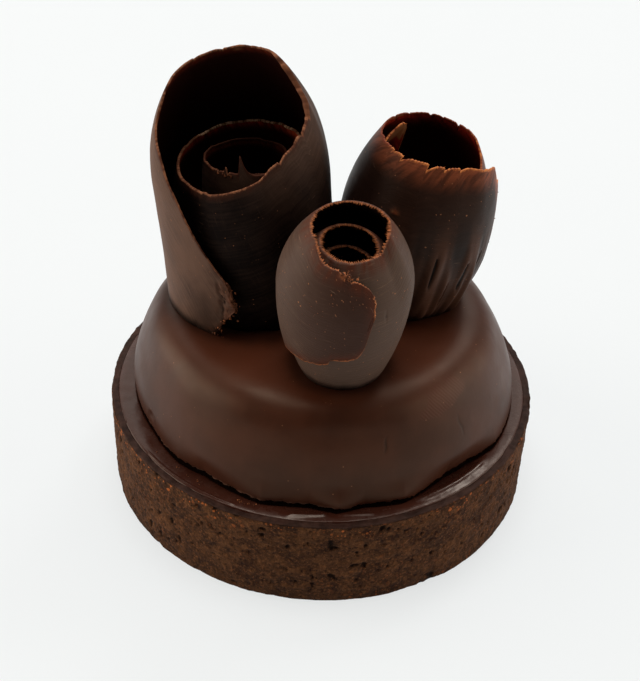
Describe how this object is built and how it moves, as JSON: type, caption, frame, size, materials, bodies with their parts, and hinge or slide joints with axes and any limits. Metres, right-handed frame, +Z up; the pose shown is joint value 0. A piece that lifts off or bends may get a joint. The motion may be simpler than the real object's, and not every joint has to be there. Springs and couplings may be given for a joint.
{
  "type": "chocolate tart",
  "caption": "Small round tart: cocoa crust filled level with glossy ganache, a low chocolate-coated dome on it, and dark chocolate curls standing on top.",
  "frame": {"origin": "centre of the crust's underside, on the surface the tart stands on", "axes": "+Z up through the middle of the crust, -Y towards the side where the smallest curl stands, +X to the right seen from there"},
  "size_m": [0.08, 0.08, 0.0836],
  "materials": {
    "crust": "baked cocoa shortcrust, coarse matt crumb",
    "ganache": "set ganache, glossy",
    "coating": "chocolate coating, satin",
    "curl": "shaved dark chocolate, satin with a faint bloom"
  },
  "bodies": {
    "root": {"crust": "crust", "ganache": "ganache", "dome": "coating", "curl_large": "curl", "curl_rear": "curl", "curl_front": "curl"}
  },
  "joints": []
}
